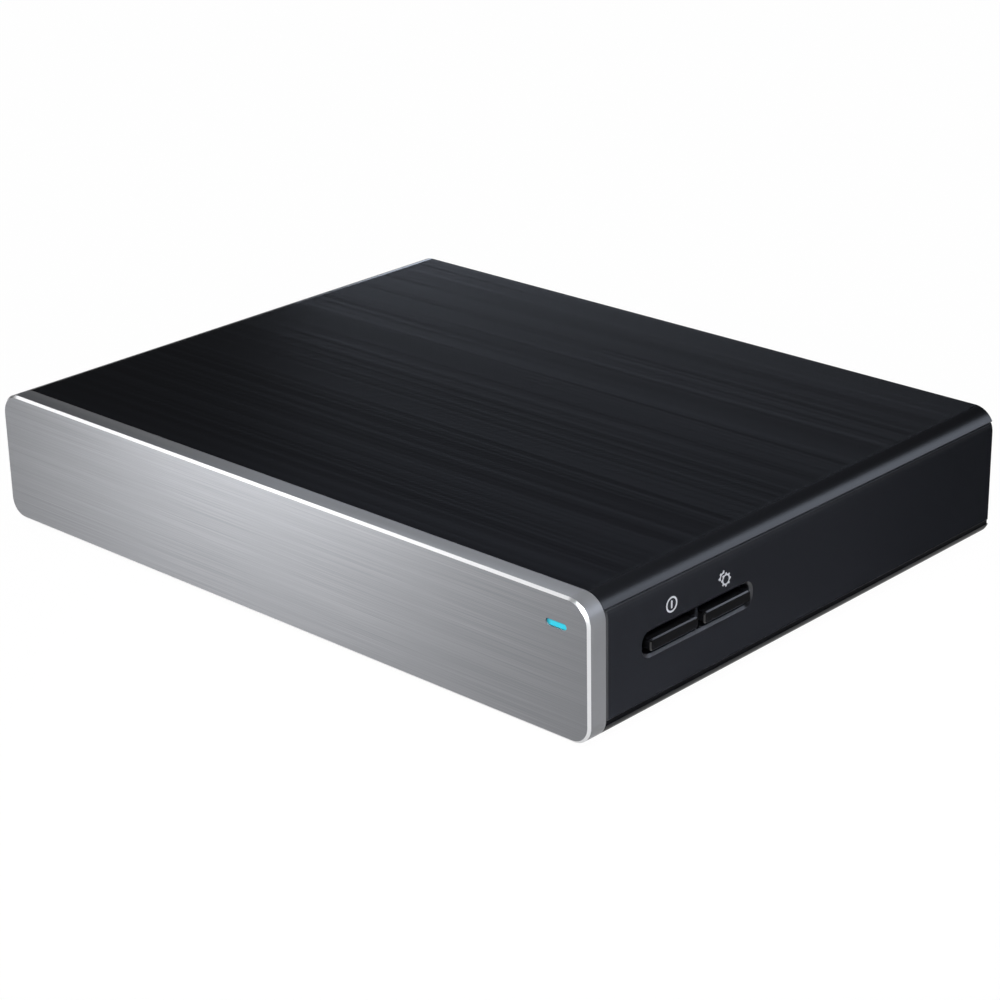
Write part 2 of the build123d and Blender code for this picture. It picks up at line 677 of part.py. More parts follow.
def optical_shutter():
    """Dust flap that hangs from two trunnions and swings in as a plug enters."""
    half = FLAP_W / 2
    plate = span(
        (OPTICAL_X - half, OPTICAL_X + half),
        (FLAP_Y - FLAP_T / 2, FLAP_Y + FLAP_T / 2),
        (FLAP_Z - FLAP_H, FLAP_Z),
    )
    barrel = rod_x(OPTICAL_X - half, OPTICAL_X + half, FLAP_Y, FLAP_Z, FLAP_T / 2 + 0.1)
    reach = half + FIT_GAP + 0.5
    return plate + barrel + rod_x(OPTICAL_X - reach, OPTICAL_X + reach, FLAP_Y, FLAP_Z, FLAP_PIN_R)


def main_board():
    """L-shaped circuit board on the standoffs."""
    board = span((-STRIP_W / 2, STRIP_W / 2), (STRIP_FRONT, BOARD_REAR), (BOARD_Z, BOARD_TOP))
    board += span((WING_X0, WING_X1), (WING_FRONT, STRIP_FRONT), (BOARD_Z, BOARD_TOP))
    for x, y in STANDOFFS:
        board -= rod(x, y, BOARD_Z, BOARD_TOP, SCREW_R + FIT_GAP)
    for x, y in sink_pins():
        board -= rod(x, y, BOARD_Z, BOARD_TOP, PIN_R + FIT_GAP)
    return board


def sink_pins():
    """Two opposite corners of the heat sink, where its pins go."""
    dx, dy = SINK_W / 2 - 4, SINK_D / 2 - 4
    return [(SINK_X - dx, SINK_Y + dy), (SINK_X + dx, SINK_Y - dy)]


def screw(x, y, z_head, z_tip, head_up=1):
    """Cross-head screw with its head above or below z_head."""
    low, high = sorted((z_head, z_tip))
    shank = rod(x, y, low, high, SCREW_R - RUN_GAP)
    head = rod(x, y, *sorted((z_head, z_head + head_up * SCREW_HEAD_H)), SCREW_HEAD_R)
    return shank + head


def case_screws():
    """Four long screws that draw the two covers together from below."""
    tip = CEILING_Z - 8 - 1.0
    return [screw(x, y, BASE + CASE_HEAD_DEPTH, tip, -1) for x, y in BOSSES]


def board_screws():
    """Screws that hold the main board on its standoffs."""
    return [screw(x, y, BOARD_TOP, FLOOR_Z + 0.5) for x, y in STANDOFFS]


def processor():
    """Main processor package."""
    half = CHIP_SIDE / 2
    xs, ys = (SINK_X - half, SINK_X + half), (SINK_Y - half, SINK_Y + half)
    return span(xs, ys, (BOARD_TOP, BOARD_TOP + CHIP_T))


def thermal_pad():
    """Soft pad between the processor and the heat sink."""
    half = CHIP_SIDE / 2
    z = BOARD_TOP + CHIP_T
    return span((SINK_X - half, SINK_X + half), (SINK_Y - half, SINK_Y + half), (z, z + PAD_T))


SINK_Z = BOARD_TOP + CHIP_T + PAD_T


def heat_sink():
    """Extruded fin block with holes for its two pins."""
    x0, ys = SINK_X - SINK_W / 2, (SINK_Y - SINK_D / 2, SINK_Y + SINK_D / 2)
    block = span((x0, x0 + SINK_W), ys, (SINK_Z, SINK_Z + SINK_BASE_T))
    step = (SINK_W - SINK_FIN_T) / (SINK_FINS - 1)
    for i in range(SINK_FINS):
        x = x0 + i * step
        block += span((x, x + SINK_FIN_T), ys, (SINK_Z, SINK_Z + SINK_BASE_T + SINK_FIN_H))
    for x, y in sink_pins():
        block -= rod(x, y, SINK_Z, SINK_Z + SINK_BASE_T, PIN_R + FIT_GAP)
        block -= rod(x, y, SINK_Z + SINK_BASE_T, SINK_Z + SINK_BASE_T + SINK_FIN_H, 3.4)
    return block


def heat_sink_pins():
    """Push pins with round heads and barbed feet."""
    pins = []
    for x, y in sink_pins():
        pin = rod(x, y, BOARD_Z - 1.2, SINK_Z + SINK_BASE_T, PIN_R)
        pin += rod(x, y, SINK_Z + SINK_BASE_T, SINK_Z + SINK_BASE_T + 1.4, 2.8)
        pins.append(pin + rod(x, y, BOARD_Z - 1.4, BOARD_Z - 0.05, PIN_R + 0.5))
    return pins


def memory_chips():
    """Four memory packages in a row in front of the heat sink."""
    y = SINK_Y - SINK_D / 2 - 7
    step = SINK_W / 4
    chips = []
    for i in range(4):
        x = SINK_X + (i - 1.5) * step
        xs = (x - step * 0.4, x + step * 0.4)
        chips.append(span(xs, (y - 4, y + 4), (BOARD_TOP, BOARD_TOP + 1.0)))
    return chips


def wireless_module():
    """Radio board under a pressed shield."""
    xs = (MODULE_X - MODULE_L / 2, MODULE_X + MODULE_L / 2)
    ys = (MODULE_Y - MODULE_D / 2, MODULE_Y + MODULE_D / 2)
    board = span(xs, ys, (BOARD_TOP, BOARD_TOP + MODULE_T))
    can_x = (xs[0] + 3 * SHIELD_INSET, xs[1] - 2 * SHIELD_INSET)
    can = span(can_x, (ys[0] + SHIELD_INSET, ys[1] - SHIELD_INSET), (BOARD_TOP, BOARD_TOP + SHIELD_H))
    return board + chamfer(can.edges().filter_by(Axis.Z), SHIELD_INSET)


def side_antenna():
    """Flat aerial stuck to the inside of the left side panel."""
    rear, z = STRIP_FRONT - ANTENNA_FROM_STRIP, POCKET_Z - ANTENNA_DROP
    zs = (z - ANTENNA_W / 2, z + ANTENNA_W / 2)
    return span((-SIDE_IN, -SIDE_IN + ANTENNA_T), (rear - ANTENNA_L, rear), zs)


def top_antenna():
    """Flat aerial stuck under the top cover."""
    xs = (MODULE_X - ANTENNA_L / 2, MODULE_X + ANTENNA_L / 2)
    ys = (MODULE_Y - ANTENNA_W / 2, MODULE_Y + ANTENNA_W / 2)
    return span(xs, ys, (CEILING_Z - ANTENNA_T, CEILING_Z))


def coax(points, radius):
    """Thin aerial lead along straight runs and round bends."""
    path = FilletPolyline(*points, radius=radius)
    start = Plane(origin=path @ 0, z_dir=path % 0)
    return sweep(start * RegularPolygon(COAX_R, 6), path=path)


def side_coax():
    """Lead from the side aerial down to the radio module."""
    x = -SIDE_IN + ANTENNA_T + COAX_R + RUN_GAP
    end_z = BOARD_TOP + 1.6
    return coax(
        [
            (x, STRIP_FRONT - 33, POCKET_Z - ANTENNA_DROP),
            (x, STRIP_FRONT - 9, POCKET_Z - 3),
            (x + 6, MODULE_Y - 4, end_z),
            (MODULE_X - MODULE_L / 2 - FIT_GAP, MODULE_Y, end_z),
        ],
        5,
    )


def top_coax():
    """Lead from the top aerial down to the radio module."""
    z = CEILING_Z - ANTENNA_T - COAX_R - RUN_GAP
    y = MODULE_Y + 2
    drop_x = MODULE_X + 13
    low = BOARD_TOP
    return coax([(MODULE_X - 4, y, z), (drop_x + 6, y, z), (drop_x, y, low + 4), (drop_x, y, low)], 4)


def sata_socket():
    """Edge socket on the main board that takes the drive's contacts."""
    xs, top = (DRIVE_X - SATA_W / 2, DRIVE_X + SATA_W / 2), BOARD_TOP + SATA_H
    block = span(xs, (DRIVE_REAR + 0.3, STRIP_FRONT), (BOARD_Z, top))
    return block + span(xs, (STRIP_FRONT, STRIP_FRONT + SATA_FOOT), (BOARD_TOP, top))


def drive_bracket():
    """Folded steel cradle with side walls and four ears."""
    half = DRIVE_W / 2 + 0.3
    low, high = BRACKET_Z, BRACKET_Z + BRACKET_T
    side = half + BRACKET_T
    tray = span((DRIVE_X - side, DRIVE_X + side), (DRIVE_FRONT, DRIVE_REAR), (low, high))
    for sign in (-1, 1):
        xs = sorted((DRIVE_X + sign * half, DRIVE_X + sign * (half + BRACKET_T)))
        tray += span(xs, (DRIVE_FRONT, DRIVE_REAR), (high, high + BRACKET_WALL_H))
    hole = 0.22 * DRIVE_L
    tray -= span((DRIVE_X - hole, DRIVE_X + hole), (DRIVE_FRONT + 12, DRIVE_REAR - 12), (low, high))
    for x, y in EARS:
        inner = DRIVE_X + (half if x > DRIVE_X else -half)
        outer = x + (EAR_TIP if x > DRIVE_X else -EAR_TIP)
        tray += span(sorted((inner, outer)), (y - 5, y + 5), (low, high))
        tray -= rod(x, y, low, high, SCREW_R + FIT_GAP)
    for x, y, sign in drive_screw_places():
        xs = sorted((DRIVE_X + sign * half, DRIVE_X + sign * (half + BRACKET_T)))
        tray -= rod_x(*xs, y, DRIVE_Z + 3.0, SCREW_R + FIT_GAP)
    return tray


def drive_screw_places():
    """Side holes of the drive, with the side that each is on."""
    return [
        (DRIVE_X + sign * DRIVE_W / 2, DRIVE_REAR - along * DRIVE_L, sign)
        for sign in (-1, 1)
        for along in (0.14, 0.906)
    ]


def drive_screws():
    """Four screws through the bracket's walls into the drive."""
    screws = []
    for x, y, sign in drive_screw_places():
        wall = x + sign * (0.3 + BRACKET_T)
        z = DRIVE_Z + 3.0
        shank = rod_x(*sorted((x - sign * 1.8, wall)), y, z, SCREW_R - RUN_GAP)
        screws.append(shank + rod_x(*sorted((wall, wall + sign * 1.2)), y, z, 2.4))
    return screws


def drive_grommets():
    """Rubber rings under the bracket's ears."""
    return [
        rod(x, y, BRACKET_Z - GROMMET_H, BRACKET_Z, GROMMET_R)
        - rod(x, y, BRACKET_Z - GROMMET_H, BRACKET_Z, SCREW_R + FIT_GAP)
        for x, y in EARS
    ]


def bracket_screws():
    """Screws through the ears and grommets into the bottom cover."""
    return [screw(x, y, BRACKET_Z + BRACKET_T, FLOOR_Z + 0.5) for x, y in EARS]


def drive_well():
    """Hollow of the drive: a round bay for the platter and a bay for the actuator."""
    bay = rod(*SPINDLE, WELL_Z, LID_Z, PLATTER_R + 0.8)
    half = DRIVE_W / 2 - 3
    ys = (SPINDLE[1] + 0.8 * PLATTER_R, DRIVE_REAR - 5)
    room = span((DRIVE_X - half, DRIVE_X + half), ys, (WELL_Z, LID_Z))
    return bay + fillet(room.edges().filter_by(Axis.Z), 4)


def drive_base():
    """Cast tub with the spindle post, the actuator's pin, side holes and a recess for its board."""
    half = DRIVE_W / 2
    body = span((DRIVE_X - half, DRIVE_X + half), (DRIVE_FRONT, DRIVE_REAR), (DRIVE_Z, LID_Z))
    body = fillet(body.edges().filter_by(Axis.Z), 2.5)
    body -= drive_well()
    body += rod(*SPINDLE, WELL_Z, LID_Z - 1.2, SPINDLE_R)
    body += rod(*PIVOT, WELL_Z, LID_Z - 0.8, PIVOT_PIN_R)
    body -= span(drive_board_x(), drive_board_y(), (DRIVE_Z, DRIVE_Z + DRIVE_BOARD_T))
    for x, y, sign in drive_screw_places():
        body -= rod_x(*sorted((x - sign * 2.2, x)), y, DRIVE_Z + 3.0, SCREW_R)
    return body


def drive_board_x():
    """Width that the drive's own board takes."""
    return (DRIVE_X - DRIVE_W / 2 + 6, DRIVE_X + DRIVE_W / 2 - 6)


def drive_board_y():
    """Depth that the drive's own board takes."""
    return (DRIVE_REAR - 0.46 * DRIVE_L, DRIVE_REAR)


def drive_board():
    """Control board let into the underside of the drive."""
    (x0, x1), (y0, y1) = drive_board_x(), drive_board_y()
    xs, ys = (x0 + SLIP_GAP, x1 - SLIP_GAP), (y0 + SLIP_GAP, y1)
    return span(xs, ys, (DRIVE_Z, DRIVE_Z + DRIVE_BOARD_T - RUN_GAP))


def drive_lid():
    """Stamped lid with a shallow ring over the platter."""
    half = DRIVE_W / 2
    lid = span((DRIVE_X - half, DRIVE_X + half), (DRIVE_FRONT, DRIVE_REAR), (LID_Z, DRIVE_TOP))
    lid = fillet(lid.edges().filter_by(Axis.Z), 2.5)
    groove = rod(*SPINDLE, DRIVE_TOP - 0.3, DRIVE_TOP, PLATTER_R - 2)
    return lid - (groove - rod(*SPINDLE, DRIVE_TOP - 0.3, DRIVE_TOP, HUB_R + 3))


def spindle_hub():
    """Motor hub that turns on the spindle post and carries the platter."""
    low = WELL_Z + 0.3
    hub = rod(*SPINDLE, low, PLATTER_Z, HUB_R + 2)
    hub += rod(*SPINDLE, PLATTER_Z, PLATTER_Z + PLATTER_T + 1.0, HUB_R)
    return hub - rod(*SPINDLE, low, LID_Z, SPINDLE_R + RUN_GAP)


def platter():
    """Polished disk on the hub."""
    disk = rod(*SPINDLE, PLATTER_Z, PLATTER_Z + PLATTER_T, PLATTER_R)
    return disk - rod(*SPINDLE, PLATTER_Z, PLATTER_Z + PLATTER_T, HUB_R)


def actuator_arm():
    """Comb of two arms, one over and one under the platter, with the coil's paddle behind."""
    pin_room = rod(*PIVOT, WELL_Z, LID_Z, PIVOT_PIN_R + RUN_GAP)
    arm = rod(*PIVOT, WELL_Z + 0.3, LID_Z - 0.5, PIVOT_R)
    turn = Pos(*PIVOT, 0) * Rot(0, 0, ARM_REST_DEG)
    levels = (PLATTER_Z - ARM_GAP - ARM_T, PLATTER_Z + PLATTER_T + ARM_GAP)
    for z in levels:
        blade = Polygon((0, -PIVOT_R), (ARM_LENGTH, -1.5), (ARM_LENGTH, 1.5), (0, PIVOT_R), align=None)
        arm += turn * Pos(0, 0, z) * extrude(blade, amount=ARM_T)
    wide, slim = 0.44 * PADDLE_L, 0.19 * PADDLE_L
    paddle = Polygon((0, slim), (-PADDLE_L, wide), (-PADDLE_L, -wide), (0, -slim), align=None)
    arm += turn * Pos(0, 0, PLATTER_Z - 0.2) * extrude(paddle, amount=1.2)
    return arm - pin_room


def coil_magnets():
    """Two magnet plates, under and over the coil's sweep."""
    mid = radians(ARM_REST_DEG + 180 + 16)
    x, y = PIVOT[0] + 0.8 * PADDLE_L * cos(mid), PIVOT[1] + 0.8 * PADDLE_L * sin(mid)
    half = 0.375 * PADDLE_L
    under = (WELL_Z, PLATTER_Z - 0.6)
    over = (PLATTER_Z + 1.4, LID_Z)
    plates = [span((x - half, x + half), (y - half, y + half), z) for z in (under, over)]
    clear = rod(*PIVOT, WELL_Z, LID_Z, PIVOT_R + 0.5)
    return [(plate - clear).solid() for plate in plates]


def write(name, shape):
    """Saves one piece, or one group of like pieces, under its node's name."""
    if isinstance(shape, list):
        shape = Compound(children=[s.solid() if hasattr(s, "solid") else s for s in shape])
    export_step(shape, f"parts/{name}.step")


def build():
    """Makes every piece of the player."""
    os.makedirs("parts", exist_ok=True)
    pieces = [
        front_panel, front_carrier, led_lens, led_board, status_led, top_cover, bottom_cover,
        right_side_panel, rear_panel, button_board, hdmi_socket, ethernet_socket, dc_jack,
        optical_socket, optical_shutter, main_board, case_screws, board_screws, processor,
        thermal_pad, heat_sink, heat_sink_pins, memory_chips, wireless_module, side_antenna,
        top_antenna, side_coax, top_coax, sata_socket, drive_bracket, drive_screws,
        drive_grommets, bracket_screws, drive_base, drive_board, drive_lid, spindle_hub,
        platter, actuator_arm, coil_magnets,
    ]
    for make in pieces:
        write(make.__name__, make())
    write("left_side_panel", side_panel(-1))
    for (x, y), corner in zip(feet_places(), ("front_left", "rear_left", "front_right", "rear_right")):
        write(f"foot_{corner}", foot(x, y))
    for label, y in button_places().items():
        write(f"{label}_button", button(y))
        write(f"{label}_switch", button_switch(y))
        write(f"{label}_switch_plunger", switch_plunger(y))
    for label, x in zip(("right", "left"), USB_X):
        write(f"usb_socket_{label}", usb_socket(x))


build()
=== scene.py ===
"""Looks of a hard-disk media player: brushed aluminium front, black hairline case, two side buttons."""

import math

import bmesh
import bpy
from mathutils import Matrix, Vector


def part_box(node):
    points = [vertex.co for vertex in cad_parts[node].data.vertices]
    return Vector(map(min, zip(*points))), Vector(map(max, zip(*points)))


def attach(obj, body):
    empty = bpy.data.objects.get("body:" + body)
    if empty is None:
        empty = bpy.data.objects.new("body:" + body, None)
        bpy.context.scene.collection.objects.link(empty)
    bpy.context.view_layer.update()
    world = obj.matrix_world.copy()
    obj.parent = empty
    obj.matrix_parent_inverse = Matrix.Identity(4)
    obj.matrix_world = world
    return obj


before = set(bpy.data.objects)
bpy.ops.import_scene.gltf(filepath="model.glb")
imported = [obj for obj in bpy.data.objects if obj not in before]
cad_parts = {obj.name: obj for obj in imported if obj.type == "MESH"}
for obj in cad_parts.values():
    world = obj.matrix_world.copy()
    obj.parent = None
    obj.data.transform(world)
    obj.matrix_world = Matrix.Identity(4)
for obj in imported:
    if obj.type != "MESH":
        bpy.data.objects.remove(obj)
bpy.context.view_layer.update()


# Front panel
# A shallow aluminium tray pressed from sheet, brushed across its width and then cut with
# a polished bevel round the face, painted much paler than the face, partly as a painted
# highlight. It is bonded to the black moulded carrier behind it.
class Socket:
    """A node's output, with arithmetic that adds Math nodes."""

    def __init__(self, finish, output):
        self.finish = finish
        self.output = output

    def math(self, operation, first, second=0.0):
        sockets = {0: first, 1: second}
        return self.finish.node("ShaderNodeMath", {"operation": operation}, sockets)

    def __add__(self, other):
        return self.math("ADD", self, other)

    def __radd__(self, other):
        return self.math("ADD", other, self)

    def __sub__(self, other):
        return self.math("SUBTRACT", self, other)

    def __rsub__(self, other):
        return self.math("SUBTRACT", other, self)

    def __mul__(self, other):
        return self.math("MULTIPLY", self, other)

    def __rmul__(self, other):
        return self.math("MULTIPLY", other, self)

    def __abs__(self):
        return self.math("ABSOLUTE", self)


class Finish:
    """A procedural material, built round one principled shader."""

    def __init__(self, name, gloss=0.5, **constants):
        self.material = bpy.data.materials.new(name)
        self.material.use_nodes = True
        self.tree = self.material.node_tree
        self.shader = self.tree.nodes["Principled BSDF"]
        self.shader.inputs["Specular IOR Level"].default_value = gloss
        for label, value in constants.items():
            self.shader.inputs[label.replace("_", " ").title()].default_value = value

    def feed(self, socket, value):
        """Links a socket to an output, or sets its value."""
        if isinstance(value, Socket):
            self.tree.links.new(value.output, socket)
        else:
            socket.default_value = value

    def node(self, kind, settings=None, sockets=None, output=0):
        """Adds a node with its settings and inputs, and gives one of its outputs."""
        made = self.tree.nodes.new(kind)
        for label, value in (settings or {}).items():
            if label == "stops":
                ramp = made.color_ramp
                while len(ramp.elements) < len(value):
                    ramp.elements.new(1.0)
                for element, (place, shade) in zip(ramp.elements, value):
                    element.position = place
                    element.color = (*shade, 1.0)
            else:
                setattr(made, label, value)
        for label, value in (sockets or {}).items():
            self.feed(made.inputs[label], value)
        return Socket(self, made.outputs[output])

    def place(self):
        """Coordinates of the piece itself, in metres."""
        return self.node("ShaderNodeTexCoord", output="Object")

    def along(self, axis):
        """One axis of the coordinates of the piece."""
        return self.node("ShaderNodeSeparateXYZ", None, {"Vector": self.place()}, output=axis)

    def stretched(self, scale):
        """Coordinates of the piece, stretched along each axis."""
        vector = {0: self.place(), 1: scale}
        return self.node("ShaderNodeVectorMath", {"operation": "MULTIPLY"}, vector)

    def noise(self, scale, detail=2.0, rough=0.5):
        """Noise between 0 and 1 with a scale for each axis."""
        sockets = {"Vector": self.stretched(scale), "Scale": 1.0, "Detail": detail, "Roughness": rough}
        return self.node("ShaderNodeTexNoise", {"normalize": True}, sockets)

    def ramp(self, factor, stops):
        """Colour between stops, each a place on the ramp and a shade."""
        return self.node("ShaderNodeValToRGB", {"stops": stops}, {"Fac": factor})

    def step(self, value, low, high):
        """Smooth rise from 0 at low to 1 at high."""
        settings = {"interpolation_type": "SMOOTHSTEP"}
        sockets = {"Value": value, "From Min": low, "From Max": high}
        return self.node("ShaderNodeMapRange", settings, sockets)

    def blend(self, factor, first, second):
        """Mix of two colours."""
        settings = {"data_type": "RGBA"}
        sockets = {"Factor": factor, 6: first, 7: second}
        return self.node("ShaderNodeMix", settings, sockets, output=2)

    def facing(self, axis):
        """One axis of the direction that the surface looks in."""
        normal = self.node("ShaderNodeNewGeometry", output="True Normal")
        return self.node("ShaderNodeSeparateXYZ", None, {"Vector": normal}, output=axis)

    def dents(self, height, distance):
        """Shading of small dents of a depth in metres."""
        sockets = {"Height": height, "Distance": distance, "Strength": 1.0}
        return self.node("ShaderNodeBump", None, sockets, output="Normal")

    def wear(self, **links):
        """Feeds inputs of the shader, by their names."""
        for label, value in links.items():
            self.feed(self.shader.inputs[label.replace("_", " ").title()], value)

    def cover(self, *nodes):
        """Gives named nodes of the part this finish."""
        for label in nodes:
            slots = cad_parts[label].data.materials
            slots.clear()
            slots.append(self.material)


BRUSHED_SHADES = [(0.3, (0.142, 0.146, 0.156)), (0.7, (0.216, 0.220, 0.230))]
RIM_SHADE = (0.17, 0.172, 0.178, 1.0)
# Painted highlight: the bevel's pale colour is partly the light that the polished cut catches, painted
# in.
BEVEL_POLISH_AND_PAINTED_HIGHLIGHT = (0.64, 0.64, 0.65, 1.0)
# A tilt says how squarely a facet has to look ahead for a finish to begin and to be whole.
FACE_TILT = (0.85, 0.95)
BEVEL_TILT = (0.45, 0.6)
panel_finish = Finish("brushed_front", anisotropic=0.65, anisotropic_rotation=0.25)
hairline = panel_finish.noise((20.0, 1500.0, 6400.0), 3.0, 0.6)
streak = panel_finish.noise((5.0, 300.0, 1700.0), 2.0)
grain = hairline * 0.75 + streak * 0.25
front = abs(panel_finish.facing("Y"))
face = panel_finish.step(front, *FACE_TILT)
bevel = panel_finish.step(front, *BEVEL_TILT) * (1.0 - face)
brushed = panel_finish.ramp(grain, BRUSHED_SHADES)
satin = panel_finish.blend(face, RIM_SHADE, brushed)
panel_finish.wear(
    base_color=panel_finish.blend(bevel, satin, BEVEL_POLISH_AND_PAINTED_HIGHLIGHT),
    metallic=0.5 + face * 0.5 + bevel * 0.5,
    roughness=0.32 + grain * 0.10,
    normal=panel_finish.dents(grain * (1.0 - bevel), 0.00001),
)
panel_finish.cover("front_panel")

CARRIER_SHADES = [(0.3, (0.006, 0.006, 0.007)), (0.7, (0.012, 0.012, 0.013))]
carrier_finish = Finish("carrier_moulding", gloss=0.3)
speck = carrier_finish.noise((2400.0, 2400.0, 2400.0), 3.0)
carrier_finish.wear(
    base_color=carrier_finish.ramp(speck, CARRIER_SHADES),
    roughness=0.5 + speck * 0.2,
    normal=carrier_finish.dents(speck, 0.00004),
)
carrier_finish.cover("front_carrier")

# Top and bottom covers
# Black coated sheet with a fine hairline across the width on the flat faces. The rolled
# long edges are softer, because the brush runs off before them, and the underside is matt.
COVER_SHADES = [(0.3, (0.0024, 0.0025, 0.0033)), (0.7, (0.0036, 0.0039, 0.0050))]
FLAT_TILT = (0.996, 0.9995)


def hairline_black(name, gloss):
    """Black coat over a hairline brush on the flat faces."""
    finish = Finish(name, gloss=gloss)
    hairline = finish.noise((3.0, 950.0, 950.0), 0.0)
    flat = finish.step(abs(finish.facing("Z")), *FLAT_TILT)
    line = hairline * flat + 0.5 * (1.0 - flat)
    finish.wear(
        base_color=finish.ramp(line, COVER_SHADES),
        roughness=0.29 - flat * 0.175 + line * 0.06,
        normal=finish.dents(line, 0.000004),
    )
    return finish


hairline_black("black_hairline", 0.4).cover("top_cover")
hairline_black("black_underside", 0.03).cover("bottom_cover")

# Side panels
# Flat black mouldings with a fine satin grain, snapped between the two covers. The right
# one has the button pocket, whose turned edges are glossier than the flat wall.
SIDE_SHADES = [(0.3, (0.0112, 0.0118, 0.0140)), (0.7, (0.0150, 0.0156, 0.0182))]
SIDE_TILT = (0.85, 0.98)
side_finish = Finish("black_satin", gloss=0.0, coat_roughness=0.3)
speck = side_finish.noise((3200.0, 3200.0, 3200.0), 3.0)
cloud = side_finish.noise((18.0, 18.0, 18.0), 2.0)
mix = speck * 0.6 + cloud * 0.4
side_finish.wear(
    base_color=side_finish.ramp(mix, SIDE_SHADES),
    roughness=0.42 + mix * 0.14,
    coat_weight=1.0 - side_finish.step(abs(side_finish.facing("X")), *SIDE_TILT),
    normal=side_finish.dents(speck, 0.00002),
)
side_finish.cover("left_side_panel", "right_side_panel")

# Side buttons
# Two black mouldings that stand a little out of their pocket and are held by flanges
# behind the wall. Their polished bevels catch the light.
BUTTON_SHADES = [(0.3, (0.0020, 0.0020, 0.0024)), (0.7, (0.0034, 0.0034, 0.0040))]
BUTTON_TILT = (0.8, 0.9)
button_finish = Finish("gloss_button", gloss=0.02, coat_roughness=0.2)
smear = button_finish.noise((160.0, 60.0, 160.0), 3.0)
button_finish.wear(
    base_color=button_finish.ramp(smear, BUTTON_SHADES),
    roughness=0.16 + smear * 0.12,
    coat_weight=1.0 - button_finish.step(abs(button_finish.facing("X")), *BUTTON_TILT),
    normal=button_finish.dents(smear, 0.00001),
)
button_finish.cover("power_button", "settings_button")

# Signs over the buttons
# Pale grey pad-printed marks on the side panel: a ring with a bar for power, and a pair of
# gear wheels for settings.
SIGN_PROUD = 0.00003
SIGN_THICKNESS = 0.00002
SIGN_MERGE = 1e-7
SIGN_SHADES = [(0.3, (0.42, 0.42, 0.44)), (0.7, (0.54, 0.54, 0.56))]
POWER_SHIFT = (-0.00012, 0.00685)
RING_OUT = 0.00188
RING_IN = 0.00146
RING_FACES = 96
BAR_HALF = (0.00026, 0.00096)
BAR_POINTS = 16
GEAR_FRONT_SHIFT = (0.00030, 0.00635)
GEAR_BACK_SHIFT = (-0.00060, 0.00710)
GEAR_ROOT = 0.00135
GEAR_TIP = 0.00170
GEAR_HOLE = 0.00098
GEAR_GAP = 0.00012
GEAR_TEETH = 8
TOOTH_EDGE = 0.1
wall_x = -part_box("left_side_panel")[0].x

sign_finish = Finish("pale_print", gloss=0.3)
fleck = sign_finish.noise((5200.0, 5200.0, 5200.0), 2.0)
sign_finish.wear(base_color=sign_finish.ramp(fleck, SIGN_SHADES), roughness=0.5 + fleck * 0.2)


def print_sign(name, faces):
    """Makes a thin print on the right side wall, from faces with corners in depth and height."""
    mesh = bpy.data.meshes.new(name)
    shape = bmesh.new()
    for corners in faces:
        points = [shape.verts.new((wall_x + SIGN_PROUD, y, z)) for y, z in corners]
        shape.faces.new(points)
    bmesh.ops.remove_doubles(shape, verts=shape.verts, dist=SIGN_MERGE)
    bmesh.ops.recalc_face_normals(shape, faces=shape.faces)
    bmesh.ops.solidify(shape, geom=shape.faces[:], thickness=SIGN_THICKNESS)
    shape.to_mesh(mesh)
    shape.free()
    sign = bpy.data.objects.new(name, mesh)
    bpy.context.scene.collection.objects.link(sign)
    mesh.materials.append(sign_finish.material)
    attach(sign, "case")


def over_button(node, shift):
    """Place on the side wall in depth and height, from the middle of a button."""
    low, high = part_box(node)
    return (low.y + high.y) / 2.0 + shift[0], (low.z + high.z) / 2.0 + shift[1]


def wheel(centre, inner, outer, keep=lambda y, z: True):
    """Ring of short faces whose outer edge follows outer(turn), left out where keep says no."""
    faces = []
    for i in range(RING_FACES):
        turns = [2.0 * math.pi * j / RING_FACES for j in (i, i + 1)]
        edge = [(centre[0] + inner * math.cos(t), centre[1] + inner * math.sin(t)) for t in turns]
        rim = [(centre[0] + outer(t) * math.cos(t), centre[1] + outer(t) * math.sin(t)) for t in turns]
        if all(keep(*point) for point in edge + rim):
            faces.append([edge[0], rim[0], rim[1], edge[1]])
    return faces


def toothed(turn):
    """Outer edge of a gear wheel with square teeth."""
    return GEAR_TIP if math.cos(GEAR_TEETH * turn) > TOOTH_EDGE else GEAR_ROOT


def behind(y, z):
    """True outside the front gear and a thin gap round it."""
    return math.hypot(y - gear_front[0], z - gear_front[1]) > GEAR_TIP + GEAR_GAP


power_centre = over_button("power_button", POWER_SHIFT)
bar_corners = []
for i in range(BAR_POINTS):
    turn = 2.0 * math.pi * i / BAR_POINTS
    lift = BAR_HALF[1] - BAR_HALF[0] if math.sin(turn) >= 0 else BAR_HALF[0] - BAR_HALF[1]
    y = power_centre[0] + BAR_HALF[0] * math.cos(turn)
    bar_corners.append((y, power_centre[1] + lift + BAR_HALF[0] * math.sin(turn)))
print_sign("power_sign", wheel(power_centre, RING_IN, lambda turn: RING_OUT) + [bar_corners])

gear_front = over_button("settings_button", GEAR_FRONT_SHIFT)
gear_back = over_button("settings_button", GEAR_BACK_SHIFT)
gears = wheel(gear_front, GEAR_HOLE, toothed) + wheel(gear_back, GEAR_HOLE, toothed, behind)
print_sign("settings_sign", gears)
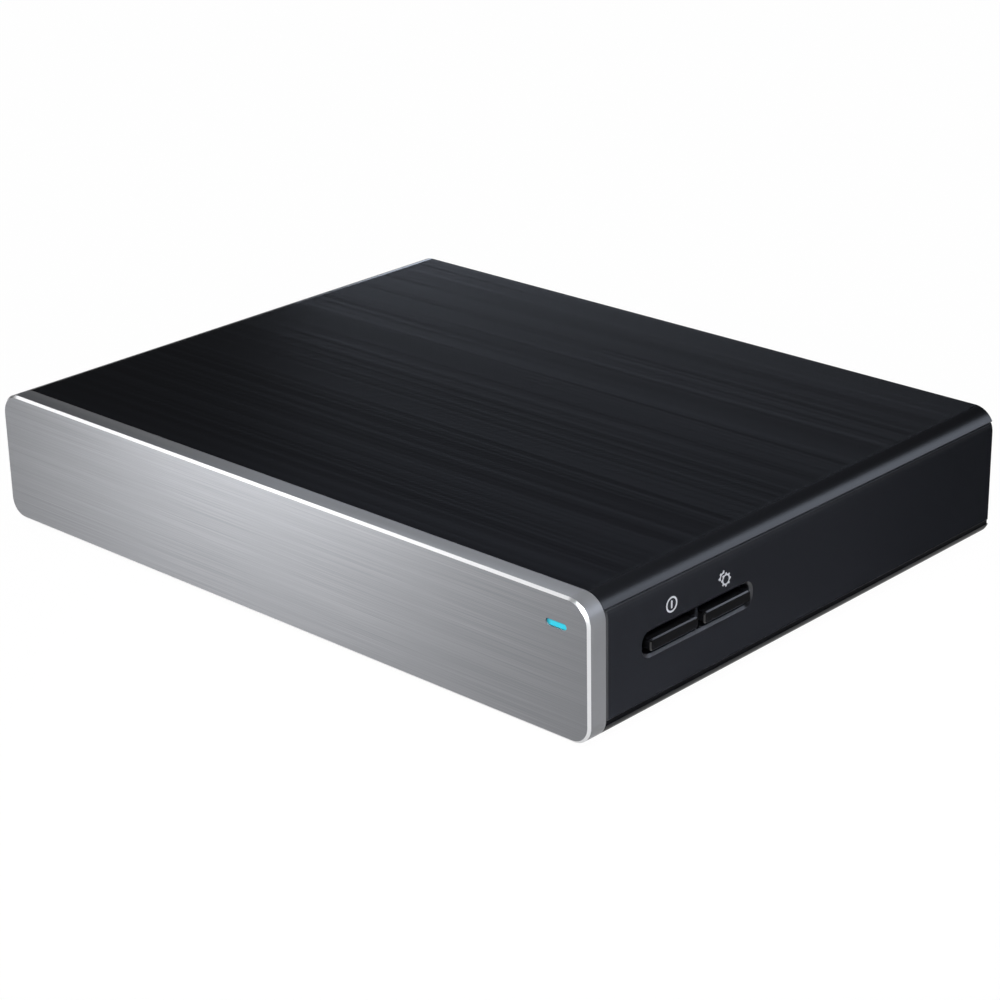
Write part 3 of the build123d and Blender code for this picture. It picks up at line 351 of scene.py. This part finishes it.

# Status light
# A clear acrylic light pipe that fills the slot in the front panel, lit cyan by a
# surface-mounted light on a small board behind it. Its glow is darker towards its left end,
# and is painted dark along its top as painted shade of the slot's top wall.
# The glow's low stop is a dark teal that serves as the painted shade.
GLOW_AND_PAINTED_SHADE = [(0.1, (0.0, 0.14, 0.20)), (0.8, (0.0, 0.52, 0.68))]
CLEAR_SHADES = [(0.3, (0.0, 0.03, 0.04)), (0.7, (0.0, 0.05, 0.06))]
LEFT_FADE = (0.000496, 0.002396)
TOP_PAINTED_SHADE = (0.001175, 0.000775)
lens_low, lens_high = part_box("led_lens")
lens_finish = Finish("lit_pipe", roughness=0.3, emission_strength=1.0)
glow = lens_finish.noise((500.0, 500.0, 500.0), 2.0)
# Painted shade: the glow is painted dark along the pipe's top, where the slot's top wall shades it.
painted_top_shade = lens_finish.step(lens_finish.along("Z"), *(lens_high.z - inset for inset in TOP_PAINTED_SHADE))
past_left = lens_finish.step(lens_finish.along("X"), *(lens_low.x + inset for inset in LEFT_FADE))
glow_under_painted_shade = past_left * (1.0 - painted_top_shade)
lit = lens_finish.ramp(glow_under_painted_shade * 0.8 + glow * 0.2, GLOW_AND_PAINTED_SHADE)
clear = lens_finish.ramp(glow, CLEAR_SHADES)
lens_finish.wear(base_color=clear, emission_color=lit)
lens_finish.cover("led_lens")

emitter_finish = Finish("light_chip", gloss=0.3)
fleck = emitter_finish.noise((2600.0, 2600.0, 2600.0), 2.0)
emitter_finish.wear(
    base_color=emitter_finish.ramp(fleck, [(0.3, (0.70, 0.72, 0.60)), (0.7, (0.86, 0.88, 0.78))]),
    roughness=0.45 + fleck * 0.2,
)
emitter_finish.cover("status_led")


# Rear panel
# Black port plate with vent slots, moulded with a deeper grain than the small pieces. It
# stands between the covers, kept in by a lip on each.
def moulding(name, dark, pale, coarse, rough, depth=0.00003):
    """Moulded plastic with a fine grain between two shades."""
    finish = Finish(name, gloss=0.35)
    speck = finish.noise((coarse, coarse, coarse), 3.0)
    finish.wear(
        base_color=finish.ramp(speck, [(0.3, dark), (0.7, pale)]),
        roughness=rough + speck * 0.15,
        normal=finish.dents(speck, depth),
    )
    return finish


rear_black = moulding("rear_moulding", (0.009, 0.009, 0.010), (0.020, 0.020, 0.022), 1500.0, 0.5, 0.00005)
rear_black.cover("rear_panel")


# Rear sockets
# Tinned steel shells round the digital sockets, and black mouldings for the power inlet,
# the drive's own socket and the optical output with its hinged flap.
def plated(name, dark, pale, stretch, rough):
    """Plated or bare metal with fine marks along its grain."""
    finish = Finish(name, metallic=1.0)
    scuff = finish.noise(stretch, 3.0)
    finish.wear(
        base_color=finish.ramp(scuff, [(0.3, dark), (0.7, pale)]),
        roughness=rough + scuff * 0.2,
        normal=finish.dents(scuff, 0.00001),
    )
    return finish


shell_tin = plated("tinned_shell", (0.50, 0.50, 0.48), (0.70, 0.70, 0.68), (900.0, 140.0, 900.0), 0.22)
shell_tin.cover("hdmi_socket", "usb_socket_right", "usb_socket_left", "ethernet_socket")
socket_black = moulding("socket_moulding", (0.008, 0.008, 0.008), (0.018, 0.018, 0.018), 1800.0, 0.45)
socket_black.cover("dc_jack", "optical_socket", "sata_socket")
flap_grey = moulding("flap_moulding", (0.03, 0.03, 0.03), (0.055, 0.055, 0.055), 1800.0, 0.45)
flap_grey.cover("optical_shutter")

# Feet
# Soft black rubber discs with a dull skin, stuck in shallow recesses under the case.
foot_rubber = moulding("foot_rubber", (0.010, 0.010, 0.010), (0.022, 0.022, 0.022), 900.0, 0.7)
foot_rubber.cover("foot_front_left", "foot_rear_left", "foot_front_right", "foot_rear_right")

# Screws and plated steel
# Zinc-plated screws, the folded drive bracket and the radio's pressed shield, all of
# bright metal with fine marks from the tools.
screw_zinc = plated("zinc_screw", (0.40, 0.40, 0.39), (0.58, 0.58, 0.56), (1200.0, 1200.0, 400.0), 0.3)
screw_zinc.cover("case_screws", "board_screws", "bracket_screws", "drive_screws")
bracket_zinc = plated("zinc_bracket", (0.46, 0.46, 0.44), (0.62, 0.62, 0.60), (90.0, 60.0, 500.0), 0.35)
bracket_zinc.cover("drive_bracket")
shield_tin = plated("tinned_shield", (0.52, 0.52, 0.50), (0.66, 0.66, 0.64), (300.0, 80.0, 300.0), 0.3)
shield_tin.cover("wireless_module")

# Circuit boards and switches
# Green solder mask with paler copper runs under it, and black tactile switches with ivory
# plungers behind the side buttons.
COPPER_RUN = (0.022, 0.150, 0.060, 1.0)
BARE_MASK = (0.012, 0.085, 0.035, 1.0)
RUN_EDGE = (0.30, 0.36)
board_finish = Finish("solder_mask", gloss=0.5)
runs = board_finish.node(
    "ShaderNodeTexVoronoi",
    {"feature": "F1", "distance": "MANHATTAN"},
    {"Vector": board_finish.stretched((420.0, 420.0, 420.0)), "Scale": 1.0},
)
tracks = board_finish.step(runs, *RUN_EDGE)
board_finish.wear(
    base_color=board_finish.blend(tracks, COPPER_RUN, BARE_MASK),
    roughness=0.34 + tracks * 0.1,
    normal=board_finish.dents(tracks, 0.00003),
)
board_finish.cover("led_board", "button_board", "main_board", "drive_board")
switch_black = moulding("switch_moulding", (0.010, 0.010, 0.010), (0.028, 0.028, 0.028), 2200.0, 0.4)
switch_black.cover("power_switch", "settings_switch")
plunger_ivory = moulding("ivory_plunger", (0.60, 0.56, 0.48), (0.74, 0.70, 0.62), 2200.0, 0.35)
plunger_ivory.cover("power_switch_plunger", "settings_switch_plunger")

# Processor, heat sink and memory
# Black chip packages, a soft grey pad and an extruded aluminium fin block held by two
# white push pins.
chip_black = moulding("chip_package", (0.014, 0.014, 0.016), (0.032, 0.032, 0.036), 2600.0, 0.5)
chip_black.cover("processor", "memory_chips")
pad_grey = moulding("thermal_pad", (0.34, 0.38, 0.42), (0.46, 0.50, 0.55), 1400.0, 0.7)
pad_grey.cover("thermal_pad")
fin_metal = plated("extruded_fins", (0.56, 0.56, 0.57), (0.74, 0.74, 0.76), (900.0, 20.0, 900.0), 0.34)
fin_metal.cover("heat_sink")
pin_white = moulding("white_pin", (0.66, 0.66, 0.64), (0.80, 0.80, 0.78), 1800.0, 0.4)
pin_white.cover("heat_sink_pins")

# Aerials
# Amber film aerials stuck to the left side and under the top, each with a thin black lead
# to the radio.
film_amber = moulding("amber_film", (0.24, 0.13, 0.04), (0.38, 0.23, 0.08), 700.0, 0.35)
film_amber.cover("side_antenna", "top_antenna")
lead_black = moulding("lead_jacket", (0.010, 0.010, 0.010), (0.025, 0.025, 0.025), 1600.0, 0.5)
lead_black.cover("side_coax", "top_coax")

# Disk drive
# A cast tub with a stamped lid, a polished platter on a turned hub and the swinging arm.
# Its bracket stands on rubber grommets.
grommet = moulding("grommet_rubber", (0.012, 0.012, 0.012), (0.026, 0.026, 0.026), 900.0, 0.7)
grommet.cover("drive_grommets")
tub = plated("cast_tub", (0.34, 0.34, 0.35), (0.50, 0.50, 0.51), (700.0, 700.0, 700.0), 0.45)
tub.cover("drive_base")
lid = plated("stamped_lid", (0.48, 0.48, 0.49), (0.64, 0.64, 0.65), (60.0, 900.0, 60.0), 0.3)
lid.cover("drive_lid", "coil_magnets")
hub = plated("turned_hub", (0.56, 0.56, 0.57), (0.74, 0.74, 0.75), (800.0, 800.0, 2400.0), 0.25)
hub.cover("spindle_hub", "actuator_arm")
mirror = plated("polished_platter", (0.74, 0.74, 0.74), (0.84, 0.84, 0.84), (260.0, 260.0, 260.0), 0.03)
mirror.cover("platter")

# Studio
# A wide white floor and soft lamps: one overhead, a low and a high one at the front left,
# a narrow one at the front right and two cool ones behind. The camera stands where the
# photograph was taken from.
FLOOR_HALF = 40.0
FLOOR_SIGNS = [(-1.0, -1.0), (1.0, -1.0), (1.0, 1.0), (-1.0, 1.0)]
FLOOR_SHADES = [(0.0, (0.79, 0.79, 0.79)), (1.0, (0.81, 0.81, 0.81))]
FLOOR_SEEN = 0.985
ROOM_TINT = (0.92, 0.95, 1.0, 1.0)
ROOM_STRENGTH = 0.03
floor_mesh = bpy.data.meshes.new("floor")
floor_corners = [(x * FLOOR_HALF, y * FLOOR_HALF, 0.0) for x, y in FLOOR_SIGNS]
floor_mesh.from_pydata(floor_corners, [], [(0, 1, 2, 3)])
floor = bpy.data.objects.new("floor", floor_mesh)
bpy.context.scene.collection.objects.link(floor)
floor_finish = Finish("white_floor", roughness=0.9, gloss=0.0)
paper = floor_finish.noise((300.0, 300.0, 300.0), 2.0)
floor_finish.wear(base_color=floor_finish.ramp(paper, FLOOR_SHADES))
camera_ray = floor_finish.node("ShaderNodeLightPath", output="Is Camera Ray")
glossy_ray = floor_finish.node("ShaderNodeLightPath", output="Is Glossy Ray")
clear_ray = floor_finish.node("ShaderNodeLightPath", output="Is Transmission Ray")
seen = camera_ray.math("MINIMUM", camera_ray + glossy_ray + clear_ray, 1.0)
white = floor_finish.node("ShaderNodeEmission", None, {"Color": (1.0, 1.0, 1.0, 1.0), "Strength": 1.0})
lit_floor = Socket(floor_finish, floor_finish.shader.outputs[0])
shown = floor_finish.node("ShaderNodeMixShader", None, {0: seen * FLOOR_SEEN, 1: lit_floor, 2: white})
outlet = floor_finish.tree.nodes["Material Output"]
floor_finish.feed(outlet.inputs["Surface"], shown)
floor_mesh.materials.append(floor_finish.material)

world = bpy.context.scene.world or bpy.data.worlds.new("studio")
bpy.context.scene.world = world
world.use_nodes = True
room = world.node_tree.nodes["Background"]
room.inputs["Color"].default_value = ROOM_TINT
room.inputs["Strength"].default_value = ROOM_STRENGTH


def lamp(name, place, target, size, power, tint=(1.0, 1.0, 1.0), spread=180.0):
    """Soft lamp of a width and height at a place, turned to a target and hidden from the camera."""
    light = bpy.data.lights.new(name, "AREA")
    light.shape = "RECTANGLE"
    light.size, light.size_y = size
    light.energy = power
    light.color = tint
    light.spread = math.radians(spread)
    item = bpy.data.objects.new(name, light)
    item.location = place
    item.visible_camera = False
    item.rotation_euler = (Vector(target) - Vector(place)).to_track_quat("-Z", "Y").to_euler()
    bpy.context.scene.collection.objects.link(item)


lamp("overhead", place=(0.0, -0.2, 2.2), target=(0.0, 0.0, 0.0), size=(1.6, 1.6), power=26.0)
lamp(
    "front_left",
    place=(-0.230, -0.330, 0.022),
    target=(0.0, -0.076, 0.022),
    size=(0.10, 0.026),
    power=0.76,
)
lamp("high_left", place=(-1.073, -0.645, 0.996), target=(0.0, -0.076, 0.03), size=(0.7, 0.5), power=4.0)
lamp(
    "front_right",
    place=(0.42, -0.60, 0.72),
    target=(0.1, -0.10, 0.03),
    size=(0.2, 0.2),
    power=0.34,
    tint=(0.95, 0.97, 1.0),
    spread=15.0,
)
lamp(
    "back_left",
    place=(-1.354, 1.734, 0.33),
    target=(0.0, 0.0, 0.03),
    size=(0.86, 0.40),
    power=4.4,
    tint=(0.76, 0.84, 1.0),
)
lamp(
    "back_right",
    place=(0.881, 1.05, 0.61),
    target=(0.0, 0.0, 0.0),
    size=(0.6, 0.6),
    power=4.5,
    tint=(0.78, 0.85, 1.0),
)

CAMERA_PLACE = (0.43503, -0.45605, 0.26971)
CAMERA_RIGHT = Vector((0.731033, 0.682106, -0.017937))
CAMERA_UP = Vector((-0.249309, 0.291476, 0.923519))
CAMERA_BACK = Vector((0.635166, -0.670651, 0.383134))
camera_data = bpy.data.cameras.new("camera")
camera_data.sensor_width = 36.0
camera_data.lens = 96.179
camera_data.clip_start = 0.01
camera = bpy.data.objects.new("camera", camera_data)
turn = Matrix((CAMERA_RIGHT, CAMERA_UP, CAMERA_BACK)).transposed().to_4x4()
camera.matrix_world = Matrix.Translation(CAMERA_PLACE) @ turn
bpy.context.scene.collection.objects.link(camera)
bpy.context.scene.camera = camera
bpy.context.scene.view_settings.view_transform = "Standard"
